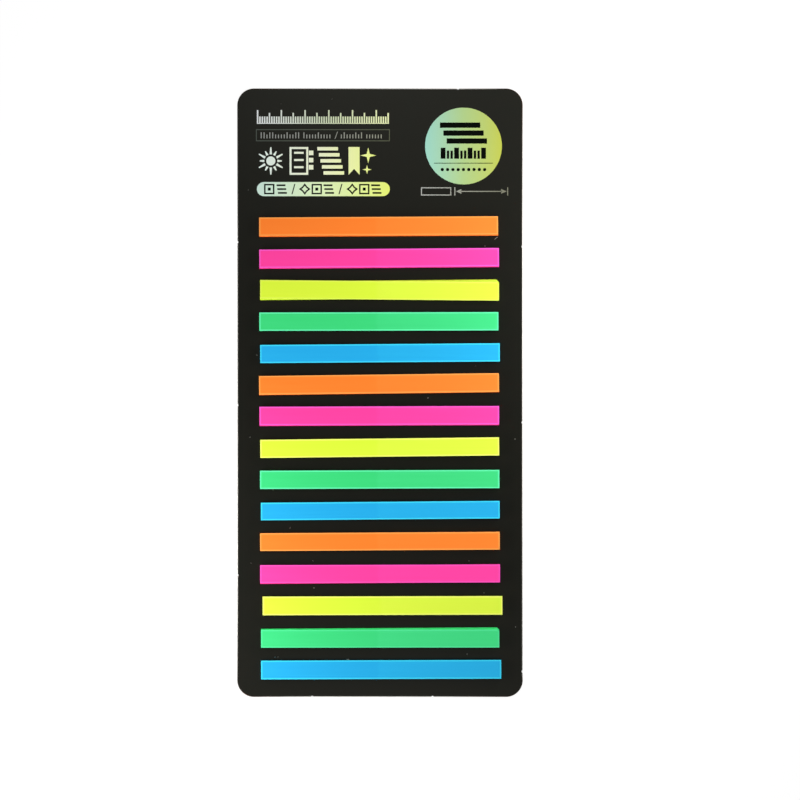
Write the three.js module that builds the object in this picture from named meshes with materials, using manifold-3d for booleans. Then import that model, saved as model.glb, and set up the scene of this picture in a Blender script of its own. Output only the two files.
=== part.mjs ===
// Sticky index tabs: fifteen pads of narrow film tabs, stuck in a column on one printed card.
// Sizes are in millimetres. The origin is the middle of the card's back. X runs along the tabs,
// Y runs up the card to its header, and Z points out of its printed front.

import * as THREE from 'three';
import { mergeVertices } from 'three/addons/utils/BufferGeometryUtils.js';
import Module from 'manifold-3d';

const wasm = await Module();
wasm.setup();

// One tab: a strip of dyed film with glue on the back of its left part only.
const tabLength = 50;
const tabWidth = 4;
const filmThickness = 0.05;
const glueThickness = 0.01;
const glueLength = 24.5;
const tabsPerPad = 20;

// How a stack of tabs lies: the free ends open a little from tab to tab, and each tab is stuck
// down a hair off the one below, by whole steps of stackStep.
const tipOpening = 0.014;
const stackStep = 0.02;

// The column of pads on the card.
const padGap = 2.6;
const headerHeight = 26.7;
const footMargin = 3.7;
const sideMargin = 4.75;

// The card: board of one thickness, punched out from its front with round corners. The punch rolls
// the front rim over by rimRoll.
const cardThickness = 0.5;
const cornerRadius = 3.5;
const rimRoll = 0.08;
const rimSteps = 2;
const cornerSteps = 8;

// A nick is where the punched card was held in its sheet until it was broken out.
const nickWidth = 0.5;
const nickDepth = 0.16;
const nickSteps = 16;

// The five films, in the order in which the column repeats them, and the card's black print.
const films = [
  { name: 'orange', colour: '#ff8434', roughness: 0.34 },
  { name: 'pink', colour: '#ff4aa8', roughness: 0.34 },
  { name: 'yellow', colour: '#e2f648', roughness: 0.34 },
  { name: 'green', colour: '#48e384', roughness: 0.34 },
  { name: 'blue', colour: '#30b0ec', roughness: 0.34 },
];
const blackPrint = { colour: '#1c1c18', roughness: 0.42 };

// The pads are laid by hand, so no two lie alike. From the header down, each is off its regular
// place by so much right and up, and turned by so many degrees anticlockwise. A slip is how far its
// top tab has crept up from its bottom one. A fan is the turn from its bottom tab to its top one,
// about a point that is fanFrom right of its middle. A clip is a corner cut off its tabs.
const laying = [
  { right: -0.3, up: 0, turn: 0.3, slip: 0.2 },
  { right: -0.2, up: 0, turn: 0.4, slip: 0.16 },
  { right: -0.1, up: -0.05, turn: 0, fan: -1.05, fanFrom: -8, clip: 0.5 },
  { right: -0.2, up: 0, turn: 0.1, slip: 0 },
  { right: 0, up: 0, turn: 0.4, slip: 0 },
  { right: -0.2, up: 0.15, turn: 0.7, slip: 0.1 },
  { right: -0.15, up: 0.1, turn: 0.2, slip: 0.16 },
  { right: 0, up: 0.1, turn: 0.6, slip: 0 },
  { right: -0.05, up: 0.1, turn: 0.2, slip: 0 },
  { right: 0.05, up: 0.15, turn: 0.45, slip: 0 },
  { right: 0, up: 0.3, turn: 0.35, slip: 0 },
  { right: 0, up: 0.2, turn: 0.3, fan: -0.27, fanFrom: 20 },
  { right: 0.5, up: 0.15, turn: 0.15, slip: 0.06 },
  { right: 0, up: 0, turn: 0.2, fan: -0.28, fanFrom: -60, clip: 0.45 },
  { right: 0.2, up: 0, turn: 0.2, slip: 0.1 },
];

// Where the nicks are: the card's side, and how far along it, from the top or from the left.
const nicks = [
  { side: 'left', along: 32 },
  { side: 'left', along: 66 },
  { side: 'left', along: 101.4 },
  { side: 'right', along: 33 },
  { side: 'right', along: 69.6 },
  { side: 'right', along: 121.5 },
  { side: 'top', along: 46 },
  { side: 'bottom', along: 15.6 },
  { side: 'bottom', along: 40.7 },
];

const tabPitch = filmThickness + glueThickness;
const padPitch = tabWidth + padGap;
const padCount = laying.length;
const cardWidth = tabLength + 2 * sideMargin;
const cardHeight = headerHeight + (padCount - 1) * padPitch + tabWidth + footMargin;
const firstPadY = cardHeight / 2 - headerHeight - tabWidth / 2;
const overallHeight = cardThickness + tabsPerPad * (tabPitch + tipOpening);

// Whatever cuts a corner or a nick stands through everything, centred on the plane z = 0.
const cutReach = 2 * overallHeight;

function toManifold(geometry) {
  const bare = geometry.index ? geometry.toNonIndexed() : geometry.clone();
  bare.deleteAttribute('normal');
  bare.deleteAttribute('uv');
  const merged = mergeVertices(bare, 1e-5);
  return new wasm.Manifold(new wasm.Mesh({
    numProp: 3,
    vertProperties: new Float32Array(merged.attributes.position.array),
    triVerts: new Uint32Array(merged.index.array),
  }));
}

function toGeometry(solid) {
  const mesh = solid.getMesh();
  const geometry = new THREE.BufferGeometry();
  geometry.setAttribute('position', new THREE.BufferAttribute(mesh.vertProperties, 3));
  geometry.setIndex(new THREE.BufferAttribute(mesh.triVerts, 1));
  return geometry;
}

// One tab of a stack seen from its long side: the glue under its left part, and the film bent up
// from the end of the glue to its tip. Its top is at the very height of the next tab's bottom.
function tabProfile(index) {
  const left = -tabLength / 2;
  const right = tabLength / 2;
  const bend = left + glueLength;
  const bottom = index * tabPitch;
  const top = (index + 1) * tabPitch;
  const lift = index * tipOpening;
  const outline = new THREE.Shape();
  outline.moveTo(left, bottom);
  outline.lineTo(bend, bottom);
  outline.lineTo(bend, bottom + glueThickness);
  outline.lineTo(right, bottom + glueThickness + lift);
  outline.lineTo(right, top + lift);
  outline.lineTo(bend, top);
  outline.lineTo(left, top);
  outline.closePath();
  return outline;
}

function tabSolid(index, clip) {
  const tab = new THREE.ExtrudeGeometry(tabProfile(index), { depth: tabWidth, bevelEnabled: false });
  tab.rotateX(Math.PI / 2);
  tab.translate(0, tabWidth / 2, 0);
  if (!clip) {
    return toManifold(tab);
  }
  const knife = new THREE.BoxGeometry(clip * Math.SQRT2, clip * Math.SQRT2, cutReach);
  knife.rotateZ(Math.PI / 4);
  knife.translate(tabLength / 2, tabWidth / 2, 0);
  return toManifold(tab).subtract(toManifold(knife));
}

// No two tabs in a row end at the same place, so the ends of the stack show its layers. Along its
// sides most tabs have crept too.
function endStep(index) {
  const steps = [0, 2, -1, 1, -2];
  return steps[index % steps.length];
}

function sideStep(index) {
  const steps = [0, 1, 0, -1];
  return steps[index % steps.length];
}

// Where one tab of a pad lies, seen from the pad's own middle. A fanned pad has turned from tab to
// tab, and any other has crept sideways.
function tabPlace(index, lie) {
  const share = index / (tabsPerPad - 1) - 0.5;
  const place = new THREE.Matrix4();
  const along = endStep(index) * stackStep;
  if (lie.fan) {
    const turned = new THREE.Matrix4().makeRotationZ(THREE.MathUtils.degToRad(lie.fan * share));
    const back = new THREE.Matrix4().makeTranslation(-lie.fanFrom, 0, 0);
    return place.makeTranslation(lie.fanFrom + along, 0, 0).multiply(turned).multiply(back);
  }
  const across = (sideStep(index) + Math.round((lie.slip / stackStep) * share)) * stackStep;
  return place.makeTranslation(along, across, 0);
}

// A pad's tabs lie face to face: each one's glue is on the film below it, so together they are one
// body whose right half is a comb of loose ends.
function padSolid(lie) {
  let pad = null;
  for (let index = 0; index < tabsPerPad; index += 1) {
    const tab = tabSolid(index, lie.clip).transform(tabPlace(index, lie).elements);
    pad = pad ? pad.add(tab) : tab;
  }
  return pad;
}

// The card's outline, from its lower left corner round to the right.
function cardOutline() {
  const x = cardWidth / 2;
  const y = cardHeight / 2;
  const r = cornerRadius;
  const outline = new THREE.Shape();
  outline.moveTo(r - x, -y);
  outline.lineTo(x - r, -y);
  outline.absarc(x - r, r - y, r, -Math.PI / 2, 0, false);
  outline.lineTo(x, y - r);
  outline.absarc(x - r, y - r, r, 0, Math.PI / 2, false);
  outline.lineTo(r - x, y);
  outline.absarc(r - x, y - r, r, Math.PI / 2, Math.PI, false);
  outline.lineTo(-x, r - y);
  outline.absarc(r - x, r - y, r, Math.PI, Math.PI * 1.5, false);
  return outline;
}

// A nick is a shallow round bite: a knife whose middle stands outside the edge of the card.
function nickKnife({ side, along }) {
  const radius = (nickWidth * nickWidth / 4 + nickDepth * nickDepth) / (2 * nickDepth);
  const outside = radius - nickDepth;
  const knife = new THREE.CylinderGeometry(radius, radius, cutReach, nickSteps);
  knife.rotateX(Math.PI / 2);
  if (side === 'left' || side === 'right') {
    const x = cardWidth / 2 + outside;
    knife.translate(side === 'left' ? -x : x, cardHeight / 2 - along, 0);
  } else {
    const y = cardHeight / 2 + outside;
    knife.translate(along - cardWidth / 2, side === 'bottom' ? -y : y, 0);
  }
  return toManifold(knife);
}

// The punch comes from the front and rolls the rim over there, so the extrusion's bevel is kept on
// the front and cut off below the back.
function cardSolid() {
  const blank = new THREE.ExtrudeGeometry(cardOutline(), {
    depth: cardThickness,
    bevelThickness: rimRoll,
    bevelSize: rimRoll,
    bevelOffset: -rimRoll,
    bevelSegments: rimSteps,
    curveSegments: cornerSteps,
  });
  blank.translate(0, 0, -rimRoll);
  const below = new THREE.BoxGeometry(2 * cardWidth, 2 * cardHeight, cutReach);
  below.translate(0, 0, -cutReach / 2);
  let card = toManifold(blank).subtract(toManifold(below));
  for (const nick of nicks) {
    card = card.subtract(nickKnife(nick));
  }
  return card;
}

function piece(name, solid, finish) {
  const material = new THREE.MeshStandardMaterial({
    color: finish.colour,
    roughness: finish.roughness,
    metalness: 0,
  });
  const mesh = new THREE.Mesh(toGeometry(solid), material);
  mesh.name = name;
  return mesh;
}

const indexTabs = new THREE.Group();
indexTabs.add(piece('backing_card', cardSolid(), blackPrint));

laying.forEach((lie, index) => {
  const film = films[index % films.length];
  const number = String(index + 1).padStart(2, '0');
  const pad = piece(`pad_${number}_${film.name}`, padSolid(lie), film);
  pad.position.set(lie.right, firstPadY - index * padPitch + lie.up, cardThickness);
  pad.rotation.z = THREE.MathUtils.degToRad(lie.turn);
  indexTabs.add(pad);
});

export default indexTabs;
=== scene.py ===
import math
import random
import bmesh
import bpy
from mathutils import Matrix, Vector


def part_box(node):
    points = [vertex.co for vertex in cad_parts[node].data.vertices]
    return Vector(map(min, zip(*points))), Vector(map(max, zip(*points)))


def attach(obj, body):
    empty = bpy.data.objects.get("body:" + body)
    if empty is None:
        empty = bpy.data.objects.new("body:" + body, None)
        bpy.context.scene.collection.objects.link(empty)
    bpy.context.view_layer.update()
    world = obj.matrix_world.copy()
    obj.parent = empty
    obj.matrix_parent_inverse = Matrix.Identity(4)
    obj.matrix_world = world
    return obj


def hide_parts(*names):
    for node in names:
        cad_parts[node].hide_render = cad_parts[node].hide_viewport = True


# Index tabs on their card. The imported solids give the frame, and every piece here is made in it, in metres.
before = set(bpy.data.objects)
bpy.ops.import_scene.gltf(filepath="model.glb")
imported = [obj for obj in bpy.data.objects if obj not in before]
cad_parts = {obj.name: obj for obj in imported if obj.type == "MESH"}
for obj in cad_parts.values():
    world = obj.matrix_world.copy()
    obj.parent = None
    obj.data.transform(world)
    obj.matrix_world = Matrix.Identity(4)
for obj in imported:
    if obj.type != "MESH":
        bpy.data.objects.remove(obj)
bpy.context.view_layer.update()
mm = 0.001
cardLow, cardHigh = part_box("backing_card")
cardWidth = cardHigh.x - cardLow.x
cardHeight = cardHigh.y - cardLow.y
cardTop = cardHigh.z


def linear(red, green, blue):
    # a colour as a paint program names it, 0 to 255, turned into the light that a shader works with
    light = []
    for value in (red, green, blue):
        share = value / 255
        light.append(share / 12.92 if share <= 0.04045 else ((share + 0.055) / 1.055) ** 2.4)
    return (*light, 1.0)


# Small helpers for meshes


def placeObject(name, data):
    made = bpy.data.objects.new(name, data)
    bpy.context.scene.collection.objects.link(made)
    return made


def meshObject(name, bm, materials):
    mesh = bpy.data.meshes.new(name)
    bmesh.ops.recalc_face_normals(bm, faces=bm.faces)
    bm.to_mesh(mesh)
    bm.free()
    for material in materials:
        mesh.materials.append(material)
    return placeObject(name, mesh)


def addWall(bm, near, far):
    # a row of faces between two rings of corners
    faces = []
    for i in range(len(near)):
        j = (i + 1) % len(near)
        faces.append(bm.faces.new((near[i], near[j], far[j], far[i])))
    return faces


def addSkin(bm, places):
    # a closed skin with flat ends, along rings of places
    rings = [[bm.verts.new(place) for place in ring] for ring in places]
    bm.faces.new(list(reversed(rings[0])))
    bm.faces.new(rings[-1])
    for near, far in zip(rings, rings[1:]):
        addWall(bm, near, far)


def ownPiece(piece):
    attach(piece, "root")


# Small helpers for node trees


def setInput(tree, socket, value):
    # an input takes a plain value or a link from another node's output
    if isinstance(value, bpy.types.NodeSocket):
        tree.links.new(value, socket)
    else:
        socket.default_value = value


def fillInputs(tree, node, **values):
    # an underscore stands for a space in an input's name
    for name, value in values.items():
        setInput(tree, node.inputs[name.replace("_", " ")], value)


def addNode(tree, kind, settings=None, **values):
    node = tree.nodes.new(kind)
    for name, value in (settings or {}).items():
        setattr(node, name, value)
    fillInputs(tree, node, **values)
    return node


def addMath(tree, operation, *values, clamp=False):
    node = addNode(tree, "ShaderNodeMath", {"operation": operation, "use_clamp": clamp})
    for socket, value in zip(node.inputs, values):
        setInput(tree, socket, value)
    return node.outputs[0]


def addStep(tree, value, low, high, fromValue=0.0, toValue=1.0):
    # a soft step: fromValue below low, toValue above high
    return addNode(tree, "ShaderNodeMapRange", {"interpolation_type": "SMOOTHSTEP"}, Value=value,
                   From_Min=low, From_Max=high, To_Min=fromValue, To_Max=toValue).outputs["Result"]


def addMix(tree, factor, first, second):
    mix = addNode(tree, "ShaderNodeMix", {"data_type": "RGBA"}, Factor=factor, A=first, B=second)
    return mix.outputs["Result"]


def addNoise(tree, place, scale, detail, roughness=0.5):
    noise = addNode(tree, "ShaderNodeTexNoise", Vector=place, Scale=scale, Detail=detail,
                    Roughness=roughness)
    return noise.outputs["Fac"]


def addAxes(tree, vector):
    return addNode(tree, "ShaderNodeSeparateXYZ", Vector=vector).outputs


def addVector(tree, **parts):
    # a vector of the axes that are given, with nought for the others
    return addNode(tree, "ShaderNodeCombineXYZ", **parts).outputs[0]


def objectPlace(tree):
    return addNode(tree, "ShaderNodeTexCoord").outputs["Object"]


def readSurface(tree, name, output):
    return addNode(tree, "ShaderNodeAttribute", {"attribute_name": name}).outputs[output]


def newGroup(name, kind, inputs, outputs):
    # a node group, with the values that it is given and the node that takes its results
    tree = bpy.data.node_groups.new(name, kind)
    for title, socketType, value in inputs:
        socket = tree.interface.new_socket(title, in_out="INPUT", socket_type="NodeSocket" + socketType)
        if value is not None:
            socket.default_value = value
    for title, socketType in outputs:
        tree.interface.new_socket(title, in_out="OUTPUT", socket_type="NodeSocket" + socketType)
    return tree, tree.nodes.new("NodeGroupInput").outputs, tree.nodes.new("NodeGroupOutput")


def newMaterial(name, **values):
    material = bpy.data.materials.new(name)
    material.use_nodes = True
    shader = material.node_tree.nodes["Principled BSDF"]
    fillInputs(material.node_tree, shader, **values)
    return material, material.node_tree, shader


def placeGroup(tree, group, **values):
    return addNode(tree, "ShaderNodeGroup", {"node_tree": group}, **values).outputs


def grainedMaterial(name, scale, coarse, rough, spread, **values):
    # a material whose roughness follows a fine grain
    material, tree, shader = newMaterial(name, **values)
    surface = placeGroup(tree, grain, Scale=scale, Coarse=coarse, Roughness=rough, Spread=spread)
    fillInputs(tree, shader, Roughness=surface["Roughness"])
    return material, tree, shader, surface


def addBump(tree, height, strength, distance, shader):
    bump = addNode(tree, "ShaderNodeBump", Strength=strength, Distance=distance, Height=height)
    fillInputs(tree, shader, Normal=bump.outputs["Normal"])


# Shared surface effects


def makeGrain():
    # fine paper or film grain: an uneven height and a roughness that follows it
    tree, given, out = newGroup(
        "grain", "ShaderNodeTree",
        [("Scale", "Float", 4000.0), ("Coarse", "Float", 300.0),
         ("Roughness", "Float", 0.4), ("Spread", "Float", 0.06)],
        [("Height", "Float"), ("Roughness", "Float"), ("Cloud", "Float")],
    )
    place = objectPlace(tree)
    fine = addNoise(tree, place, given["Scale"], 3.0)
    coarse = addNoise(tree, place, given["Coarse"], 4.0, 0.6)
    coarseShare = 0.6
    both = addMath(tree, "MULTIPLY_ADD", coarse, coarseShare, fine)
    # each noise lies round a half
    uneven = addMath(tree, "SUBTRACT", both, 0.5 + 0.5 * coarseShare)
    spread = addMath(tree, "MULTIPLY", uneven, given["Spread"])
    roughness = addMath(tree, "ADD", spread, given["Roughness"])
    fillInputs(tree, out, Height=both, Roughness=roughness, Cloud=coarse)
    return tree


def makeInkFade():
    # the header's ink runs from a cool colour through a middle one to a warm one, from left to right
    tree, given, out = newGroup(
        "inkFade", "ShaderNodeTree",
        [(title, "Color", None) for title in ("Left", "Middle", "Right")]
        + [("From", "Float", 0.0), ("To", "Float", 1.0)],
        [("Colour", "Color")],
    )
    past = addMath(tree, "SUBTRACT", addAxes(tree, objectPlace(tree))["X"], given["From"])
    span = addMath(tree, "SUBTRACT", given["To"], given["From"])
    share = addMath(tree, "DIVIDE", past, span, clamp=True)
    early = addMath(tree, "MULTIPLY", share, 2.0, clamp=True)
    late = addMath(tree, "MULTIPLY_ADD", share, 2.0, -1.0, clamp=True)
    cool = addMix(tree, early, given["Left"], given["Middle"])
    fillInputs(tree, out, Colour=addMix(tree, late, cool, given["Right"]))
    return tree


grain = makeGrain()
inkFade = makeInkFade()
print("shared surface effects ready")

# The card: a plate of board, printed black on both faces, its rim rolled over by the punch

card = {
    "cornerRadius": 3.5 * mm, "cornerSteps": 20, "rimRoll": 0.08 * mm,
    "rimSteps": 4, "backEdge": 0.03 * mm, "sharpFrom": 40, "nickWidth": 0.56 * mm,
    "nickDepth": 0.25 * mm,
    "printColour": linear(11, 13, 9),
    "warmColour": linear(16, 13, 8),
    "printSheen": (0.98, 1, 0.87, 1),
    "rubbedColour": linear(92, 58, 34),
    "boardColour": linear(96, 84, 70),
    "fibreColour": linear(226, 223, 216),
}

# the card's side, and how far along it from its top or its left end, in millimetres
nicks = [("left", 32), ("left", 66), ("left", 101.4), ("right", 33), ("right", 69.6), ("right", 121.5),
         ("top", 46), ("bottom", 15.6), ("bottom", 40.7)]

# a nick's ragged outline, in shares of its width and of its depth
bite = [(-0.5, 0), (-0.3, 0.7), (-0.1, 1), (0.12, 0.85), (0.33, 0.95), (0.5, 0)]

# how the ink is rubbed off the rolled rim in patches, less so along the card's left side, and how far in
# from a nick the torn board shows
rub = {
    "patchReach": 0.3 * mm, "patchFrom": -0.06 * mm, "softFrom": -0.03 * mm,
    "softTo": 0.05 * mm, "share": 0.9, "leftShare": 0.25, "leftFrom": 0.3 * mm,
    "leftTo": 1.5 * mm, "tornFrom": 0.02 * mm, "tornTo": 0.2 * mm,
}

# torn fibres in each nick. Pairs are the ends of a random choice, in shares of the nick's width, its
# depth or the card's thickness.
fibre = {
    "count": 7, "width": 0.03 * mm,
    "thickness": (0.6, 1.3),
    "spread": (-0.4, 0.4),
    "root": 1.15,
    "reach": (0.5, 1.1),
    "lean": (-0.5, 0.5),
    "low": (0.05, 0.7),
    "rise": (0.02, 0.25),
    "section": ((-1, 0), (0, -0.8), (1, 0), (0, 0.8)),
}


def nickPlace(side, along):
    # where a nick is, and which way is out of the card there
    if side in ("left", "right"):
        out = -1 if side == "left" else 1
        return Vector((out * cardWidth / 2, cardHigh.y - along * mm)), Vector((out, 0))
    out = -1 if side == "bottom" else 1
    return Vector((cardLow.x + along * mm, out * cardHeight / 2)), Vector((0, out))


def cardOutline():
    # points round the card with the way out at each, and how torn the edge is there
    radius, points = card["cornerRadius"], []
    for turn, side in enumerate(("right", "top", "left", "bottom")):
        start = turn * math.pi / 2
        along = Vector((-math.sin(start), math.cos(start)))
        places = [nickPlace(name, distance) for name, distance in nicks if name == side]
        for middle, out in sorted(places, key=lambda place: place[0].dot(along)):
            for share, depth in bite:
                point = middle + along * share * card["nickWidth"] - out * depth * card["nickDepth"]
                points.append((point, out, 1.0))
        cornerX = (cardWidth / 2 - radius) * (1 if turn in (0, 3) else -1)
        cornerY = (cardHeight / 2 - radius) * (1 if turn in (0, 1) else -1)
        for step in range(card["cornerSteps"] + 1):
            angle = start + step / card["cornerSteps"] * math.pi / 2
            out = Vector((math.cos(angle), math.sin(angle)))
            points.append((Vector((cornerX, cornerY)) + out * radius, out, 0.0))
    return points


def makeCard(materials):
    roll, back = card["rimRoll"], card["backEdge"]
    profile = [(back, 0.0), (0.0, back), (0.0, cardTop - roll)]
    for step in range(1, card["rimSteps"] + 1):
        angle = step / card["rimSteps"] * math.pi / 2
        profile.append((roll * (1 - math.cos(angle)), cardTop - roll + roll * math.sin(angle)))
    outline = cardOutline()
    bm = bmesh.new()
    torn = bm.verts.layers.float.new("torn")
    rings = []
    for inset, z in profile:
        ring = []
        for point, out, tear in outline:
            place = point - out * inset
            corner = bm.verts.new((place.x, place.y, z))
            corner[torn] = tear
            ring.append(corner)
        rings.append(ring)
    # the print covers both faces and the upper part of the rolled rim, and the rest is cut board
    printedFrom = len(profile) - 1 - card["rimSteps"] // 2
    for level, (lower, upper) in enumerate(zip(rings, rings[1:])):
        for side in addWall(bm, lower, upper):
            side.material_index = 0 if level >= printedFrom else 1
            side.smooth = True
    bm.faces.new(list(reversed(rings[0]))).material_index = 0
    bm.faces.new(rings[-1]).material_index = 0
    made = meshObject("card", bm, materials)
    made.data.set_sharp_from_angle(angle=math.radians(card["sharpFrom"]))
    # the two large faces stay flat, or the round rim would bend the light on them
    for face in made.data.polygons:
        face.use_smooth = abs(face.normal.z) < 0.999
    return made


def makeFibres(material):
    # torn fibres of board left standing in each nick, all within the card's outline
    draw = random.Random(11)
    width, depth = card["nickWidth"], card["nickDepth"]
    bm = bmesh.new()
    for side, distance in nicks:
        middle, out = nickPlace(side, distance)
        along = Vector((-out.y, out.x))
        for _ in range(fibre["count"]):
            root = middle + along * draw.uniform(*fibre["spread"]) * width - out * depth * fibre["root"]
            reach = depth * draw.uniform(*fibre["reach"])
            lean = along * draw.uniform(*fibre["lean"]) * reach
            low = draw.uniform(*fibre["low"]) * cardTop
            rise = draw.uniform(*fibre["rise"]) * cardTop
            thick = fibre["width"] * draw.uniform(*fibre["thickness"])
            spine = [
                (root, low, thick),
                (root + out * reach * 0.6 + lean * 0.4, low + rise * 0.7, thick * 0.8),
                (root + out * reach + lean, low + rise, thick * 0.3),
            ]
            rings = []
            for place, z, half in spine:
                rings.append([(*(place + along * a * half), z + b * half) for a, b in fibre["section"]])
            addSkin(bm, rings)
    return meshObject("nick_fibres", bm, [material])


def cardInset(tree, axes):
    # how far a point is inside the card's round-cornered outline
    radius = card["cornerRadius"]
    past = []
    squares = []
    for axis, size in (("X", cardWidth), ("Y", cardHeight)):
        fromMiddle = addMath(tree, "ABSOLUTE", axes[axis])
        past.append(addMath(tree, "SUBTRACT", fromMiddle, size / 2 - radius))
        beyond = addMath(tree, "MAXIMUM", past[-1], 0.0)
        squares.append(addMath(tree, "MULTIPLY", beyond, beyond))
    outward = addMath(tree, "SQRT", addMath(tree, "ADD", *squares))
    within = addMath(tree, "MINIMUM", addMath(tree, "MAXIMUM", *past), 0.0)
    return addMath(tree, "SUBTRACT", radius, addMath(tree, "ADD", outward, within))


def printMaterial():
    material, tree, shader, surface = grainedMaterial(
        "blackPrint", scale=5200, coarse=260, rough=0.34, spread=0.05,
        IOR=1.45, Specular_IOR_Level=0.35, Specular_Tint=card["printSheen"])
    place = objectPlace(tree)
    axes = addAxes(tree, place)
    inset = cardInset(tree, axes)
    patches = addNoise(tree, place, 190, 5.0, 0.7)
    ragged = addMath(tree, "MULTIPLY_ADD", patches, rub["patchReach"], rub["patchFrom"])
    kept = addMath(tree, "SUBTRACT", inset, ragged)
    rubbed = addStep(tree, kept, rub["softFrom"], rub["softTo"], 1.0, 0.0)
    shareThere = addStep(tree, axes["X"], cardLow.x + rub["leftFrom"], cardLow.x + rub["leftTo"],
                         rub["leftShare"], rub["share"])
    ground = addMix(tree, surface["Cloud"], card["printColour"], card["warmColour"])
    rim = addMix(tree, addMath(tree, "MULTIPLY", rubbed, shareThere), ground, card["rubbedColour"])
    atNick = addStep(tree, inset, rub["tornFrom"], rub["tornTo"], 1.0, 0.0)
    bare = addMath(tree, "MULTIPLY", readSurface(tree, "torn", "Fac"), atNick)
    fillInputs(tree, shader, Base_Color=addMix(tree, bare, rim, card["fibreColour"]))
    addBump(tree, surface["Height"], 0.12, 0.02 * mm, shader)
    return material


def boardMaterial():
    material, tree, shader, surface = grainedMaterial("cutBoard", scale=3500, coarse=900, rough=0.85,
                                                      spread=0.1, Specular_IOR_Level=0.2)
    # the noise is squeezed upright, so it lies in plies
    layers = addNode(tree, "ShaderNodeMapping", Vector=objectPlace(tree), Scale=(1.0, 1.0, 14.0))
    plies = addNoise(tree, layers.outputs["Vector"], 700, 4.0)
    shade = addMix(tree, plies, card["rubbedColour"], card["boardColour"])
    tornShade = addMix(tree, readSurface(tree, "torn", "Fac"), shade, card["fibreColour"])
    fillInputs(tree, shader, Base_Color=tornShade)
    addBump(tree, surface["Height"], 0.5, 0.05 * mm, shader)
    return material


def fibreMaterial():
    material, tree, shader, surface = grainedMaterial("tornFibre", scale=9000, coarse=2500, rough=0.9,
                                                      spread=0.05, Specular_IOR_Level=0.1)
    shade = addMix(tree, surface["Cloud"], card["boardColour"], card["fibreColour"])
    fillInputs(tree, shader, Base_Color=shade)
    return material


cardPiece = makeCard([printMaterial(), boardMaterial()])
ownPiece(cardPiece)
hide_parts("backing_card")
ownPiece(makeFibres(fibreMaterial()))
print("card made")

# The pads: twenty thin tabs each, glued over their left part, made by one tree of geometry nodes

pads = {
    "place": 4 * mm, "gap": 2.6 * mm, "header": 26.7 * mm, "tabs": 20,
    "film": 0.05 * mm, "glue": 0.01 * mm, "glueEnd": -0.5 * mm,
    "tipOpening": 0.014 * mm, "tipCurve": 1.6, "creep": 0.02 * mm,
    "creepAcross": 0.7, "stations": 28, "stationRoom": 0.1 * mm,
    "edgeRound": 0.008 * mm,
}

# From the header down, in millimetres and degrees: how long and wide each pad is cut, how far it lies
# right and up of its regular place and how far it is turned, how far its stack has slipped up or fanned
# out and about which point, how much is clipped off its corner, and the strength of its painted rim glow.
laying = [
    {"long": 49.7, "wide": 3.79, "right": -0.29, "up": -0.1, "turn": 0.3, "slip": 0.2},
    {"long": 49.85, "wide": 3.78, "right": -0.18, "up": -0.135, "turn": 0.4, "slip": 0.16},
    {"long": 49.67, "wide": 3.85, "right": -0.09, "up": -0.12, "turn": 0, "fan": -1.05, "fanFrom": -8,
     "clip": 0.5, "paintedRimGlow": 0.4},
    {"long": 49.73, "wide": 3.8, "right": -0.24, "up": -0.07, "turn": 0.1},
    {"long": 49.84, "wide": 3.77, "right": 0.01, "up": -0.07, "turn": 0.4},
    {"long": 49.9, "wide": 3.85, "right": -0.2, "up": 0.08, "turn": 0.7, "slip": 0.1},
    {"long": 49.82, "wide": 3.83, "right": -0.15, "up": 0.06, "turn": 0.2, "slip": 0.16},
    {"long": 49.67, "wide": 3.75, "right": -0.05, "up": 0.06, "turn": 0.6},
    {"long": 49.78, "wide": 3.79, "right": -0.05, "up": 0.04, "turn": 0.2},
    {"long": 49.67, "wide": 3.63, "right": 0.06, "up": 0.15, "turn": 0.45},
    {"long": 49.84, "wide": 3.67, "right": -0.01, "up": 0.34, "turn": 0.35},
    {"long": 49.9, "wide": 3.73, "right": 0.02, "up": 0.16, "turn": 0.3, "fan": -0.27, "fanFrom": 20,
     "paintedRimGlow": 0.6},
    {"long": 49.84, "wide": 3.86, "right": 0.53, "up": 0.16, "turn": 0.15, "slip": 0.06},
    {"long": 49.57, "wide": 3.7, "right": 0.04, "up": 0.06, "turn": 0.2, "fan": -0.28, "fanFrom": -60,
     "clip": 0.45, "paintedRimGlow": 0.4},
    {"long": 49.95, "wide": 3.88, "right": 0.24, "up": 0.015, "turn": 0.2, "slip": 0.1},
]

# each film's body colour, a paler colour that is mixed in for the painted glow along its cut edges and for
# its paler free part and lines, and the tint of its sheen
films = {
    "orange": {"body": linear(255, 104, 4), "edge": linear(255, 164, 80), "sheen": (1, 0.6, 0.16, 1)},
    "pink": {"body": linear(255, 26, 122), "edge": linear(255, 88, 208), "sheen": (1, 0.27, 1, 1)},
    "yellow": {"body": linear(210, 234, 14), "edge": linear(246, 254, 114), "sheen": (0.28, 0.45, 0.24, 1)},
    "green": {"body": linear(4, 204, 38), "edge": linear(104, 250, 172), "sheen": (0.26, 0.95, 1, 1)},
    "blue": {"body": linear(0, 140, 221), "edge": linear(60, 220, 255), "sheen": (0.12, 1, 1, 1)},
}

# How a film looks. A painted glow lies along the rim, most up to rimFrom and none past rimTo, in
# millimetres from the cut, much in the topmost tabs and little in those below, which are pressed together.
# The free part holds some air between its films and is a shade paler than the glued part. Faint lines are
# drawn along the film.
filmFinish = {
    "rimFrom": 0.12, "rimTo": 0.36, "paintedRimLight": 0.75, "rimTabs": 5, "rimBelow": 0.12,
    "freePale": 0.07, "freeSoft": 0.5,
    "lineScale": (0.06, 2.2, 3.7),
    "linePale": 0.12, "lineRough": 0.08, "roughness": 0.47, "ior": 2.4,
    "paintedFluorescentGlow": 0.18,
}


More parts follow.
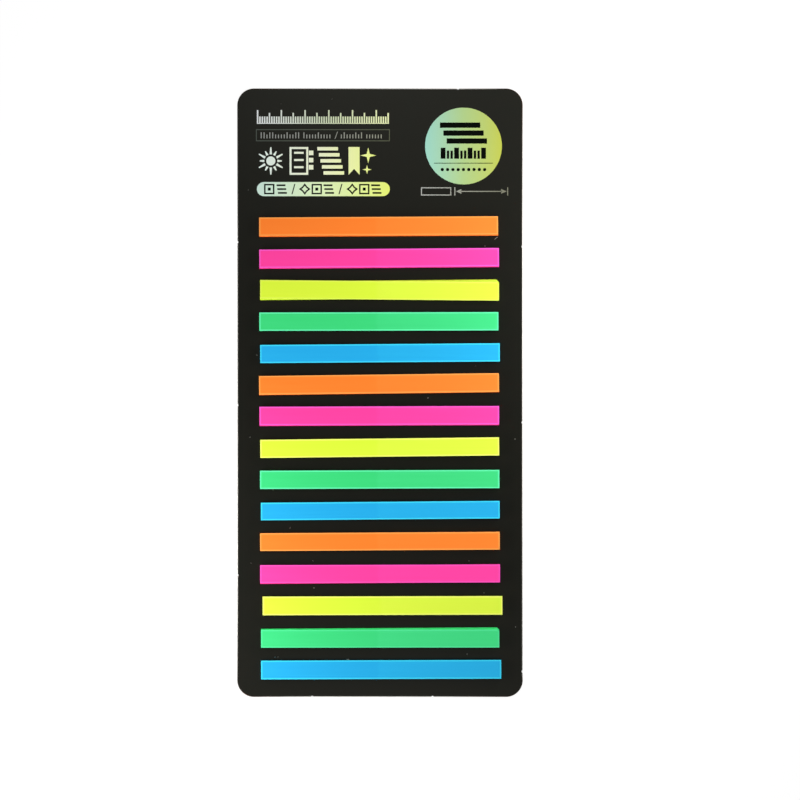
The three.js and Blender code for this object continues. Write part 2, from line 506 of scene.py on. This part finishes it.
def makeFilmLook():
    # reads each tab's own place along and across it in millimetres and its number in the stack, then half
    # its size and the strength of its painted rim glow
    tree, given, out = newGroup(
        "filmLook", "ShaderNodeTree",
        [("Body", "Color", None), ("Edge", "Color", None),
         ("Roughness", "Float", 0.3)],
        [("Colour", "Color"), ("Roughness", "Float"), ("Height", "Float")],
    )
    look = filmFinish
    place = readSurface(tree, "tabPlace", "Vector")
    axes = addAxes(tree, place)
    halves = addAxes(tree, readSurface(tree, "tabSizeAndPaintedGlow", "Vector"))
    endways = addMath(tree, "SUBTRACT", halves["X"], addMath(tree, "ABSOLUTE", axes["X"]))
    sideways = addMath(tree, "SUBTRACT", halves["Y"], addMath(tree, "ABSOLUTE", axes["Y"]))
    toEdge = addMath(tree, "MINIMUM", endways, sideways)
    # a painted glow along the cut rim, strongest in the topmost tabs
    rim = addStep(tree, toEdge, look["rimFrom"], look["rimTo"], look["paintedRimLight"], 0.0)
    glowFrom, topTab = pads["tabs"] - look["rimTabs"], pads["tabs"] - 1
    upmost = addStep(tree, axes["Z"], glowFrom, topTab, look["rimBelow"], 1.0)
    rim = addMath(tree, "MULTIPLY", rim, addMath(tree, "MULTIPLY", upmost, halves["Z"]))
    bend, soft = pads["glueEnd"] / mm, look["freeSoft"]
    free = addStep(tree, axes["X"], bend - soft, bend + soft, 0.0, look["freePale"])
    stretched = addNode(tree, "ShaderNodeVectorMath", {"operation": "MULTIPLY"}, Vector=place)
    stretched.inputs[1].default_value = look["lineScale"]
    lines = addNoise(tree, stretched.outputs["Vector"], 1.0, 5.0, 0.65)
    drawn = addMath(tree, "MULTIPLY_ADD", lines, look["linePale"], -look["linePale"] / 4)
    pale = addMath(tree, "ADD", addMath(tree, "ADD", rim, free), drawn, clamp=True)
    uneven = addMath(tree, "MULTIPLY_ADD", lines, look["lineRough"], -look["lineRough"] / 2)
    fillInputs(tree, out, Colour=addMix(tree, pale, given["Body"], given["Edge"]),
               Roughness=addMath(tree, "ADD", uneven, given["Roughness"]), Height=lines)
    return tree


filmLook = makeFilmLook()


def filmMaterial(name, film):
    # the dye is fluorescent, and the film is given a painted glow of its own colour, its rim glow included,
    # which shines whatever light falls on it
    material, tree, shader = newMaterial(name, IOR=filmFinish["ior"], Specular_IOR_Level=1.0,
                                         Specular_Tint=film["sheen"],
                                         Emission_Strength=filmFinish["paintedFluorescentGlow"])
    look = placeGroup(tree, filmLook, Body=film["body"], Edge=film["edge"],
                      Roughness=filmFinish["roughness"])
    fillInputs(tree, shader, Base_Color=look["Colour"], Emission_Color=look["Colour"],
               Roughness=look["Roughness"])
    addBump(tree, look["Height"], 0.15, 0.01 * mm, shader)
    return material


def makeTab(length, width, clip):
    # one flat tab, its glue and film in one body, cut square at its ends or with one corner clipped
    glueEnd, glue, edge = pads["glueEnd"], pads["glue"], pads["edgeRound"]
    pitch, half = pads["film"] + glue, length / 2
    stations = [-half, -half + edge]
    for step in range(1, pads["stations"]):
        stations.append(-half + step / pads["stations"] * length)
    stations += [half - edge, half]
    stations = [x for x in stations if abs(x - glueEnd) > pads["stationRoom"]]
    stations += [glueEnd, glueEnd + edge]
    if clip:
        stations.append(half - clip)
    stations.sort()
    bm = bmesh.new()
    rings = []
    for x in stations:
        atEnd = edge if abs(x) > half - edge / 2 else 0.0
        low = 0.0 if x <= glueEnd else glue
        cut = max(0.0, clip - (half - x)) if clip else 0.0
        near, far = -width / 2, width / 2 - cut
        section = [
            (near + edge, low + atEnd), (far - edge, low + atEnd),
            (far, low + edge), (far, pitch - edge),
            (far - edge, pitch - atEnd), (near + edge, pitch - atEnd),
            (near, pitch - edge), (near, low + edge),
        ]
        rings.append([(x, y, z) for y, z in section])
    addSkin(bm, rings)
    return meshObject("tab", bm, [])


def keepValue(tree, geometry, name, kind, value, domain="POINT"):
    node = addNode(tree, "GeometryNodeStoreNamedAttribute", {"data_type": kind, "domain": domain},
                   Geometry=geometry, Name=name, Value=value)
    return node.outputs["Geometry"]


def readValue(tree, name, kind):
    return addNode(tree, "GeometryNodeInputNamedAttribute", {"data_type": kind}, Name=name).outputs[0]


def inMillimetres(tree, vector):
    scaled = addNode(tree, "ShaderNodeVectorMath", {"operation": "SCALE"}, Vector=vector, Scale=1 / mm)
    return scaled.outputs[0]


def makeStackTree():
    numbers = ("Pitch", "Tip opening", "Bend from", "Tip", "Slip", "Creep", "Fan", "Fan from")
    tree, given, out = newGroup(
        "stackOfTabs", "GeometryNodeTree",
        [("Geometry", "Geometry", None), ("Tabs", "Int", 20)]
        + [(title, "Float", 0.0) for title in numbers]
        + [("PaintedRimGlow", "Float", 1.0), ("Seed", "Int", 1),
           ("Film", "Material", None)],
        [("Geometry", "Geometry")],
    )
    # the tab's own coordinates in millimetres, half its size and its painted rim glow, kept before anything
    # moves
    ownPlace = inMillimetres(tree, addNode(tree, "GeometryNodeInputPosition").outputs[0])
    placed = keepValue(tree, given["Geometry"], "tabPlace", "FLOAT_VECTOR", ownPlace)
    reach = addNode(tree, "GeometryNodeBoundBox", Geometry=given["Geometry"]).outputs["Max"]
    halves = addAxes(tree, inMillimetres(tree, reach))
    sizeAndPaintedGlow = addVector(tree, X=halves["X"], Y=halves["Y"], Z=given["PaintedRimGlow"])
    tab = keepValue(tree, placed, "tabSizeAndPaintedGlow", "FLOAT_VECTOR", sizeAndPaintedGlow)
    # one point for each tab, straight up the stack
    column = addNode(tree, "GeometryNodeMeshLine", Count=given["Tabs"],
                     Offset=addVector(tree, Z=given["Pitch"]))
    stack = addNode(tree, "GeometryNodeInstanceOnPoints", Points=column.outputs["Mesh"], Instance=tab)
    number = addNode(tree, "GeometryNodeInputIndex").outputs[0]
    last = addMath(tree, "SUBTRACT", given["Tabs"], 1)
    share = addMath(tree, "SUBTRACT", addMath(tree, "DIVIDE", number, last), 0.5)
    # each tab is stuck down a hair off the one below
    stray = []
    for seedStep in (0, 1):
        chance = addNode(tree, "FunctionNodeRandomValue", {"data_type": "FLOAT"}, Min=-1.0,
                         Seed=addMath(tree, "ADD", given["Seed"], seedStep))
        stray.append(chance.outputs[1])
    slipped = addMath(tree, "MULTIPLY", given["Slip"], share)
    creepAcross = addMath(tree, "MULTIPLY", given["Creep"], pads["creepAcross"])
    across = addMath(tree, "MULTIPLY_ADD", stray[1], creepAcross, slipped)
    along = addMath(tree, "MULTIPLY", stray[0], given["Creep"])
    slide = addNode(tree, "GeometryNodeTranslateInstances", Instances=stack.outputs["Instances"],
                    Translation=addVector(tree, X=along, Y=across))
    fanned = addMath(tree, "MULTIPLY", given["Fan"], share)
    turn = addNode(tree, "GeometryNodeRotateInstances", Instances=slide.outputs["Instances"],
                   Rotation=addVector(tree, Z=fanned), Pivot_Point=addVector(tree, X=given["Fan from"]),
                   Local_Space=False)
    # each tab takes its number with it when the stack becomes one mesh
    numbered = keepValue(tree, turn.outputs["Instances"], "tabLevel", "FLOAT", number, "INSTANCE")
    real = addNode(tree, "GeometryNodeRealizeInstances", Geometry=numbered)
    # past the glue the films spring open towards their tips
    here = addAxes(tree, addNode(tree, "GeometryNodeInputPosition").outputs[0])
    room = addMath(tree, "SUBTRACT", given["Tip"], given["Bend from"])
    beyond = addMath(tree, "SUBTRACT", here["X"], given["Bend from"])
    past = addMath(tree, "DIVIDE", beyond, room, clamp=True)
    eased = addMath(tree, "POWER", past, pads["tipCurve"])
    level = readValue(tree, "tabLevel", "FLOAT")
    opened = addMath(tree, "MULTIPLY", addMath(tree, "MULTIPLY", level, given["Tip opening"]), eased)
    opening = addNode(tree, "GeometryNodeSetPosition", Geometry=real.outputs["Geometry"],
                      Offset=addVector(tree, Z=opened))
    # the level becomes the third of the tab's own coordinates, so that no two tabs share a pattern
    withLevel = addNode(tree, "ShaderNodeVectorMath", {"operation": "ADD"},
                        Vector=readValue(tree, "tabPlace", "FLOAT_VECTOR"))
    setInput(tree, withLevel.inputs[1], addVector(tree, Z=level))
    marked = keepValue(tree, opening.outputs["Geometry"], "tabPlace", "FLOAT_VECTOR", withLevel.outputs[0])
    dress = addNode(tree, "GeometryNodeSetMaterial", Geometry=marked, Material=given["Film"])
    fillInputs(tree, out, Geometry=dress.outputs["Geometry"])
    return tree


def plainMesh(source, tree, settings, name):
    # runs a tree on an object and keeps its result as a plain mesh
    modifier = source.modifiers.new("nodes", "NODES")
    modifier.node_group = tree
    sockets = {item.name: item.identifier for item in tree.interface.items_tree if item.in_out == "INPUT"}
    for title, value in settings.items():
        modifier[sockets[title]] = value
    bpy.context.view_layer.update()
    evaluated = source.evaluated_get(bpy.context.evaluated_depsgraph_get())
    mesh = bpy.data.meshes.new_from_object(evaluated)
    mesh.name = name
    source.modifiers.remove(modifier)
    return placeObject(name, mesh)


def makePads():
    tree = makeStackTree()
    names = list(films)
    materials = {name: filmMaterial(name + "Film", film) for name, film in films.items()}
    pitch = pads["place"] + pads["gap"]
    firstY = cardHigh.y - pads["header"] - pads["place"] / 2
    for number, lie in enumerate(laying):
        filmName = names[number % len(names)]
        tab = makeTab(lie["long"] * mm, lie["wide"] * mm, lie.get("clip", 0) * mm)
        settings = {
            "Tabs": pads["tabs"],
            "Pitch": pads["film"] + pads["glue"],
            "Tip opening": pads["tipOpening"],
            "Bend from": pads["glueEnd"],
            "Tip": lie["long"] / 2 * mm,
            "Slip": lie.get("slip", 0) * mm,
            "Creep": pads["creep"],
            "Fan": math.radians(lie.get("fan", 0)),
            "Fan from": lie.get("fanFrom", 0) * mm,
            "PaintedRimGlow": lie.get("paintedRimGlow", 1.0),
            "Seed": 7 * number + 3,
            "Film": materials[filmName],
        }
        made = plainMesh(tab, tree, settings, f"tabs_{number + 1:02d}_{filmName}")
        bpy.data.objects.remove(tab)
        turn = math.radians(lie["turn"])
        centre = Vector((lie["right"] * mm, firstY - number * pitch + lie["up"] * mm, cardTop))
        for corner in made.data.vertices:
            x, y, z = corner.co
            corner.co = (centre.x + x * math.cos(turn) - y * math.sin(turn),
                         centre.y + x * math.sin(turn) + y * math.cos(turn), centre.z + z)
        made.data.update()
        ownPiece(made)
        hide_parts(f"pad_{number + 1:02d}_{filmName}")


makePads()
print("pads stacked")

# The header's print. It holds no lettering: every line of it stands in as ticks, bars and plain signs.
# Places and sizes of its parts are in millimetres, from the card's left and top edges.

header = {
    "sunk": 0.01 * mm, "ink": 0.012 * mm, "overprint": 0.02 * mm,
    "darkColours": (linear(2, 5, 2), linear(8, 11, 6)),
}


def headerSpot(x, y):
    return cardLow.x + x * mm, cardHigh.y - y * mm


def addPlate(bm, outline, hole=None, high=header["ink"], material=0):
    # a closed plate of ink on the card, with a hole of as many points if one is given
    rings = []
    levels = (cardTop - header["sunk"], cardTop + high)
    for loop in [outline, hole] if hole else [outline]:
        spots = [headerSpot(x, y) for x, y in loop]
        rings.append([[bm.verts.new((*spot, z)) for spot in spots] for z in levels])
    faces = []
    for lower, upper in rings:
        faces += addWall(bm, lower, upper)
    for level in (0, 1):
        if hole:
            faces += addWall(bm, rings[0][level], rings[1][level])
        else:
            faces.append(bm.faces.new(rings[0][level]))
    for face in faces:
        face.material_index = material


def addDark(bm, outline, hole=None):
    # dark print on top of a field of ink
    addPlate(bm, outline, hole, header["overprint"], 1)


def barOutline(left, top, wide, high, lean=0.0):
    return [(left, top + high), (left + wide, top + high), (left + wide + lean, top), (left + lean, top)]


def frameOutlines(left, top, wide, high, line):
    # a frame's outer and inner outline
    inner = barOutline(left + line, top + line, wide - 2 * line, high - 2 * line)
    return barOutline(left, top, wide, high), inner


def discOutline(x, y, radius, steps):
    turns = [2 * math.pi * step / steps for step in range(steps)]
    return [(x + radius * math.cos(a), y + radius * math.sin(a)) for a in turns]


def roundBar(left, top, wide, high, steps=14):
    # a bar with full round ends
    radius, points = high / 2, []
    for x, start in ((left + wide - radius, -math.pi / 2), (left + radius, math.pi / 2)):
        for step in range(steps + 1):
            a = start + math.pi * step / steps
            points.append((x + radius * math.cos(a), top + radius + radius * math.sin(a)))
    return points


def starOutline(x, y, outer, inner, points=4):
    outline = []
    for step in range(2 * points):
        radius = inner if step % 2 else outer
        a = math.pi * step / points
        outline.append((x + radius * math.sin(a), y - radius * math.cos(a)))
    return outline


def fadeMaterial(name, colours, fromX, toX):
    material, tree, shader, surface = grainedMaterial(name, scale=6000, coarse=700, rough=0.45, spread=0.05,
                                                      IOR=1.45, Specular_IOR_Level=0.35)
    left, middle, right = [linear(*colour) for colour in colours]
    ink = placeGroup(tree, inkFade, Left=left, Middle=middle, Right=right,
                     From=headerSpot(fromX, 0)[0], To=headerSpot(toX, 0)[0])
    fillInputs(tree, shader, Base_Color=ink["Colour"])
    addBump(tree, surface["Height"], 0.12, 0.02 * mm, shader)
    return material


# a graduated scale: every fifth tick is longer and every tenth the full height
ruler = {
    "left": 4.1, "top": 4.5, "long": 27.5, "high": 2.7, "base": 0.16, "ticks": 56,
    "stroke": 0.3, "fifthShare": 0.78, "plainShare": 0.5,
    "colours": ((250, 255, 255), (218, 230, 197), (246, 253, 192)),
}


def makeScaleLine():
    left, long, stroke = ruler["left"], ruler["long"], ruler["stroke"]
    foot = ruler["top"] + ruler["high"]
    pitch = (long - stroke) / (ruler["ticks"] - 1)
    bm = bmesh.new()
    for tick in range(ruler["ticks"]):
        high = ruler["high"]
        if tick % 10:
            high *= ruler["plainShare"] if tick % 5 else ruler["fifthShare"]
        addPlate(bm, barOutline(left + tick * pitch, foot - high, stroke, high))
    addPlate(bm, barOutline(left, foot, long, ruler["base"]))
    ink = fadeMaterial("scaleInk", ruler["colours"], left, left + long)
    return meshObject("header_scale", bm, [ink])


# a thin frame round groups of short upright strokes, with a slanting stroke where the count is nought
note = {
    "left": 3.9, "top": 8.5, "wide": 27.9, "high": 2.5, "line": 0.17,
    "groups": (14, 10, 0, 8, 6),
    "groupGap": 0.5, "stroke": 0.2, "pitch": 0.6, "indent": 1.0, "footRoom": 0.6,
    "tall": 1.25, "short": 0.8, "tallChance": 0.25, "slantStroke": 0.14,
    "slantInset": 0.5, "slantLean": 0.55, "slantRoom": 1.3,
    "frameColours": ((81, 89, 81), (85, 91, 77), (87, 91, 70)),
    "strokeColours": ((161, 163, 160), (161, 163, 155), (155, 156, 137)),
}


def makeNoteBox():
    draw = random.Random(4)
    start, top, wide, high = note["left"], note["top"], note["wide"], note["high"]
    bm = bmesh.new()
    addPlate(bm, *frameOutlines(start, top, wide, high, note["line"]))
    left, foot = start + note["indent"], top + high - note["footRoom"]
    inset = note["slantInset"]
    slant = (note["slantStroke"], high - 2 * inset, note["slantLean"])
    for strokes in note["groups"]:
        if not strokes:
            addPlate(bm, barOutline(left, top + inset, *slant), material=1)
            left += note["slantRoom"]
            continue
        for _ in range(strokes):
            tall = note["tall"] if draw.random() < note["tallChance"] else note["short"]
            addPlate(bm, barOutline(left, foot - tall, note["stroke"], tall), material=1)
            left += note["pitch"]
        left += note["groupGap"]
    frameInk = fadeMaterial("frameInk", note["frameColours"], start, start + wide)
    noteInk = fadeMaterial("noteInk", note["strokeColours"], start, start + wide)
    return meshObject("header_note", bm, [frameInk, noteInk])


# four plain signs: a burst of light, a page with tabs, a stair of bars, and a ribbon with two sparks
signs = {
    "left": 4.1, "top": 12.2, "size": 5.8, "pitch": 6.3,
    "colours": ((240, 255, 250), (250, 255, 220), (244, 254, 139)),
}
burst = {"disc": 0.95, "steps": 32, "rays": 12, "near": 1.35, "far": 2.85, "shortFar": 2.3,
         "foot": 0.27, "tip": 0.12}
page = {"shift": 0.5, "wide": 3.9, "line": 0.42, "rows": 3, "pitch": 1.5, "tab": 0.95, "tabRight": 4.02,
        "tabDown": 0.75, "ruleLong": 2.0, "ruleRight": 0.95, "ruleDown": 1.0}
stair = {"bars": 5, "long": 4.3, "thick": 0.72, "pitch": 1.26, "step": 0.32}
ribbon = {"shift": 0.2, "wide": 2.3, "notch": 1.25}

# right of the ribbon and down from its top, then how far the points and the hollows of the spark reach
sparks = [(4.1, 1.75, 1.65, 0.45), (3.85, 4.7, 0.95, 0.28)]


def addBurst(bm, left, top):
    x, y = left + signs["size"] / 2, top + signs["size"] / 2
    addPlate(bm, discOutline(x, y, burst["disc"], burst["steps"]))
    for ray in range(burst["rays"]):
        a = 2 * math.pi * ray / burst["rays"]
        near, far = burst["near"], burst["shortFar"] if ray % 2 else burst["far"]
        corners = [(near, -burst["foot"]), (near, burst["foot"]), (far, burst["tip"]), (far, -burst["tip"])]
        addPlate(bm, [(x + math.sin(a) * r + math.cos(a) * w, y - math.cos(a) * r + math.sin(a) * w)
                      for r, w in corners])


def addPage(bm, left, top):
    left += page["shift"]
    tab, line = page["tab"], page["line"]
    addPlate(bm, *frameOutlines(left, top, page["wide"], signs["size"], line))
    for row in range(page["rows"]):
        down = top + row * page["pitch"]
        addPlate(bm, barOutline(left + page["tabRight"], down + page["tabDown"], tab, tab))
        addPlate(bm, barOutline(left + page["ruleRight"], down + page["ruleDown"], page["ruleLong"], line))


def addStair(bm, left, top):
    for row in range(stair["bars"]):
        right, down = left + row * stair["step"], top + row * stair["pitch"]
        addPlate(bm, barOutline(right, down, stair["long"], stair["thick"]))


def addRibbon(bm, left, top):
    left += ribbon["shift"]
    right, foot = left + ribbon["wide"], top + signs["size"]
    notch = ((left + right) / 2, foot - ribbon["notch"])
    addPlate(bm, [(left, top), (right, top), (right, foot), notch, (left, foot)])
    for across, down, outer, inner in sparks:
        addPlate(bm, starOutline(left + across, top + down, outer, inner))


def makeSigns():
    bm = bmesh.new()
    for number, addSign in enumerate((addBurst, addPage, addStair, addRibbon)):
        addSign(bm, signs["left"] + number * signs["pitch"], signs["top"])
    right = signs["left"] + 3 * signs["pitch"] + signs["size"]
    ink = fadeMaterial("signInk", signs["colours"], signs["left"], right)
    return meshObject("header_signs", bm, [ink])


# a field with round ends, which bears square rings, rows of bars and diamonds in turn, and two strokes
pill = {
    "left": 4.1, "top": 19.5, "wide": 27.7, "high": 2.95,
    "marks": (5.6, 8.2, 13.0, 15.5, 18.0, 22.9, 25.4, 27.9),
    "markDown": 0.4, "markSize": 2.15,
    "strokes": (11.3, 21.1),
    "stroke": 0.22, "strokeLean": 0.6, "ringLine": 0.3, "dot": 0.6, "dotFrom": 0.78,
    "bar": (1.85, 0.35),
    "barDown": 0.1, "barPitch": 0.8, "barStep": 0.15,
    "diamond": (1.2, 0.72),
    "diamondHole": (0.7, 0.42),
    "diamondMiddle": 1.07,
    "colours": ((215, 244, 231), (233, 253, 197), (234, 246, 113)),
}


def addMark(bm, kind, left, top):
    if kind == 0:
        size, dot = pill["markSize"], pill["dot"]
        addDark(bm, *frameOutlines(left, top, size, size, pill["ringLine"]))
        addDark(bm, barOutline(left + pill["dotFrom"], top + pill["dotFrom"], dot, dot))
    elif kind == 1:
        for row in range(3):
            down = top + pill["barDown"] + row * pill["barPitch"]
            addDark(bm, barOutline(left + row * pill["barStep"], down, *pill["bar"]))
    else:
        x, y = left + pill["diamondMiddle"], top + pill["diamondMiddle"]
        addDark(bm, starOutline(x, y, *pill["diamond"]), starOutline(x, y, *pill["diamondHole"]))


def makePill(darkInk):
    left, wide = pill["left"], pill["wide"]
    markTop = pill["top"] + pill["markDown"]
    bm = bmesh.new()
    addPlate(bm, roundBar(left, pill["top"], wide, pill["high"]))
    for number, markLeft in enumerate(pill["marks"]):
        addMark(bm, number % 3, markLeft, markTop)
    for strokeLeft in pill["strokes"]:
        addDark(bm, barOutline(strokeLeft, markTop, pill["stroke"], pill["markSize"], pill["strokeLean"]))
    ink = fadeMaterial("pillInk", pill["colours"], left, left + wide)
    return meshObject("header_pill", bm, [ink, darkInk])


# a round field, which bears a stack of tabs over a row of bars, a thin rule and a row of dots. What is
# right or down here is from the middle of the field.
badge = {
    "x": 47.15, "y": 12.0, "radius": 8.0, "steps": 128,
    "tab": (8.4, 1.1),
    "tabsRight": (-0.7, 0.0, 0.7),
    "tabsDown": -4.9, "tabPitch": 1.65,
    "bars": (1.0, 0.5, 0.5, 1.0, 0.5, 0.5, 1.0, 0.5, 0.5, 1.0),
    "barGap": 0.27, "barsRight": -4.75, "barsFoot": 2.65, "wideBar": 0.8,
    "wideHigh": 2.3, "thinHigh": 1.7,
    "rule": (12.3, 0.14),
    "ruleDown": 3.5, "dots": 9, "dotPitch": 1.1, "dotRadius": 0.34, "dotSteps": 20,
    "dotsDown": 4.9,
    "colours": ((156, 213, 196), (169, 198, 130), (179, 186, 69)),
}


def makeBadge(darkInk):
    x, y, radius = badge["x"], badge["y"], badge["radius"]
    bm = bmesh.new()
    addPlate(bm, discOutline(x, y, radius, badge["steps"]))
    long, high = badge["tab"]
    for row, right in enumerate(badge["tabsRight"]):
        down = y + badge["tabsDown"] + row * badge["tabPitch"]
        addDark(bm, barOutline(x - long / 2 + right, down, long, high))
    left = x + badge["barsRight"]
    for wide in badge["bars"]:
        high = badge["wideHigh"] if wide > badge["wideBar"] else badge["thinHigh"]
        addDark(bm, barOutline(left, y + badge["barsFoot"] - high, wide, high))
        left += wide + badge["barGap"]
    addDark(bm, barOutline(x - badge["rule"][0] / 2, y + badge["ruleDown"], *badge["rule"]))
    for dot in range(badge["dots"]):
        across = x + (dot - (badge["dots"] - 1) / 2) * badge["dotPitch"]
        addDark(bm, discOutline(across, y + badge["dotsDown"], badge["dotRadius"], badge["dotSteps"]))
    ink = fadeMaterial("badgeInk", badge["colours"], x - radius, x + radius)
    return meshObject("header_badge", bm, [ink, darkInk])


# a tab's outline, and beside it an arrow between two stops, for the size of one tab
sizeLine = {
    "left": 38.3, "top": 20.6, "long": 17.8, "high": 1.7, "stroke": 0.2,
    "tabLong": 6.3, "arrowFrom": 7.3, "headLong": 1.1, "headHalf": 0.5,
    "stopGap": 0.15,
    "colours": ((174, 176, 171), (145, 146, 133), (112, 112, 94)),
}


def makeSizeLine():
    left, top, high, stroke = sizeLine["left"], sizeLine["top"], sizeLine["high"], sizeLine["stroke"]
    head, half, gap = sizeLine["headLong"], sizeLine["headHalf"], sizeLine["stopGap"]
    start, end, middle = left + sizeLine["arrowFrom"], left + sizeLine["long"], top + high / 2
    bm = bmesh.new()
    addPlate(bm, *frameOutlines(left, top, sizeLine["tabLong"], high, stroke))
    # the shaft runs a stroke's width into both heads
    inHead = head - stroke
    addPlate(bm, barOutline(start + inHead, middle - stroke / 2, end - start - 2 * inHead, stroke))
    addPlate(bm, [(start, middle), (start + head, middle - half), (start + head, middle + half)])
    addPlate(bm, [(end, middle), (end - head, middle + half), (end - head, middle - half)])
    for x in (start - gap - stroke, end + gap):
        addPlate(bm, barOutline(x, top, stroke, high))
    ink = fadeMaterial("sizeInk", sizeLine["colours"], left, end)
    return meshObject("header_size", bm, [ink])


def darkInkMaterial():
    material, tree, shader, surface = grainedMaterial("darkInk", scale=6000, coarse=700, rough=0.45,
                                                      spread=0.05, IOR=1.45, Specular_IOR_Level=0.04)
    fillInputs(tree, shader, Base_Color=addMix(tree, surface["Cloud"], *header["darkColours"]))
    return material


darkInk = darkInkMaterial()
printed = [makeScaleLine(), makeNoteBox(), makeSigns(), makePill(darkInk), makeBadge(darkInk),
           makeSizeLine()]
for piece in printed:
    ownPiece(piece)
print("header printed")

# Dust and lint that lie on the card between the pads

dust = {
    "size": 0.075 * mm,
    "rough": (0.7, 1.25),
    "flat": 0.6, "seated": 0.3, "lint": 0.028 * mm, "lintSeated": 0.8,
    "lintSection": ((0.5, -0.9, 0), (0, 0, 0.9), (-0.5, 0.9, 0), (0, 0, -0.9)),
    "darkColour": linear(150, 148, 140),
    "paleColour": linear(205, 203, 196),
}

# right and up of the card's middle, in millimetres, and how large, against the usual speck
specks = [(21.88, 30.56, 1.0), (-25.63, 7.85, 1.0), (10.0, -1.1, 1.1), (-27.08, -9.23, 1.0),
          (28.13, -9.65, 1.0), (-22.29, -20.27, 1.2), (-18.75, -28.19, 1.0), (-26.88, -35.48, 1.1),
          (-13.96, -35.06, 1.0), (18.54, -35.06, 1.0), (-13.75, -40.69, 1.2), (21.67, -41.73, 1.0),
          (28.23, -48.81, 1.1), (-21.88, -55.06, 1.1), (-21.25, -55.06, 0.8), (18.13, -54.44, 1.0),
          (-10.0, 61.19, 0.6), (-20.63, 60.15, 0.6), (-27.5, 42.23, 0.6), (20.0, 5.56, 0.6)]
lints = [[(23.85, 31.95), (24.1, 32.1), (24.3, 32.35), (24.55, 32.45)],
         [(-7.1, -55.4), (-6.85, -55.55), (-6.6, -55.5), (-6.4, -55.6)]]


def makeDust():
    draw = random.Random(5)
    bm = bmesh.new()
    for x, y, size in specks:
        made = bmesh.ops.create_icosphere(bm, subdivisions=1, radius=dust["size"] * size)
        middle = Vector((x * mm, y * mm, cardTop + dust["size"] * dust["seated"]))
        for corner in made["verts"]:
            rough = draw.uniform(*dust["rough"])
            place = (corner.co.x * rough, corner.co.y * rough, corner.co.z * dust["flat"])
            corner.co = middle + Vector(place)
    lint = dust["lint"]
    for points in lints:
        rings = []
        for x, y in points:
            z = cardTop + lint * dust["lintSeated"]
            rings.append([(x * mm + a * lint, y * mm + b * lint, z + c * lint)
                          for a, b, c in dust["lintSection"]])
        addSkin(bm, rings)
    material, tree, shader = newMaterial("dust", Roughness=0.9, Specular_IOR_Level=0.1)
    surface = placeGroup(tree, grain, Scale=9000.0, Coarse=3000.0, Roughness=0.9, Spread=0.05)
    shade = addMix(tree, surface["Cloud"], dust["darkColour"], dust["paleColour"])
    fillInputs(tree, shader, Base_Color=shade)
    return meshObject("dust", bm, [material])


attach(makeDust(), "root")
print("dust settled")

# The photograph's view: straight down, on white, lit by two low strips and by two small panels higher up

view = {
    "middle": (4.17 * mm, -1.52 * mm),
    "wide": 166.7 * mm, "high": 0.9, "sensor": 36.0,
    "clip": (0.01, 50.0),
    "floorReach": 3.0, "floorDrop": 0.05 * mm,
    "floorShade": linear(235, 235, 235),
    "floorSeen": linear(100, 100, 100),
    "floorLift": 0.95, "sky": 0.15,
}

# each pair of lamps: how far the first stands right and up of the middle and how high, how far up of the
# middle it aims, how long and wide it is, and its power; the second stands opposite
lightMiddle = Vector((0, -9 * mm))
lights = [
    {"name": "low", "right": 0.08, "up": 0.044, "high": 0.052, "aimUp": 0.044, "long": 0.1, "wide": 0.03,
     "power": 0.107},
    {"name": "panel", "right": -0.011, "up": 0.13, "high": 0.3, "aimUp": 0.0, "long": 0.06, "wide": 0.06,
     "power": 0.05},
]


def makeFloor():
    bm = bmesh.new()
    reach = view["floorReach"]
    corners = [(-reach, -reach), (reach, -reach), (reach, reach), (-reach, reach)]
    bm.faces.new([bm.verts.new((x, y, -view["floorDrop"])) for x, y in corners])
    # it lights the card as white paper does, while to the eye it is plain white with a faint shadow
    material, tree, shader = newMaterial("floor", Roughness=0.9, Specular_IOR_Level=0.0)
    path = addNode(tree, "ShaderNodeLightPath")
    seen = addMath(tree, "ADD", path.outputs["Is Camera Ray"], path.outputs["Is Glossy Ray"])
    seen = addMath(tree, "ADD", seen, path.outputs["Is Transmission Ray"], clamp=True)
    fillInputs(tree, shader, Base_Color=addMix(tree, seen, view["floorShade"], view["floorSeen"]),
               Emission_Color=(1, 1, 1, 1),
               Emission_Strength=addMath(tree, "MULTIPLY", seen, view["floorLift"]))
    floor = meshObject("floor", bm, [material])


def makeLamps():
    for light in lights:
        for side in (1, -1):
            lamp = bpy.data.lights.new(light["name"] + "Lamp", "AREA")
            lamp.shape = "RECTANGLE"
            lamp.size = light["long"]
            lamp.size_y = light["wide"]
            lamp.energy = light["power"]
            made = placeObject(lamp.name, lamp)
            away = lightMiddle + side * Vector((light["right"], light["up"]))
            made.location = (away.x, away.y, light["high"])
            aim = Vector((lightMiddle.x, lightMiddle.y + side * light["aimUp"], 0)) - made.location
            made.rotation_euler = aim.to_track_quat("-Z", "Y").to_euler()
            made.visible_camera = False


def makeCamera():
    camera = bpy.data.cameras.new("camera")
    camera.sensor_width = view["sensor"]
    camera.lens = view["sensor"] * view["high"] / view["wide"]
    camera.clip_start, camera.clip_end = view["clip"]
    made = placeObject("camera", camera)
    made.location = (*view["middle"], view["high"] + cardTop)
    bpy.context.scene.camera = made


def makeSky():
    world = bpy.data.worlds.new("sky")
    world.use_nodes = True
    background = world.node_tree.nodes["Background"]
    fillInputs(world.node_tree, background, Color=(1, 1, 1, 1), Strength=view["sky"])
    bpy.context.scene.world = world


makeFloor()
makeLamps()
makeCamera()
makeSky()
bpy.context.scene.view_settings.view_transform = "Standard"
print("stage set")
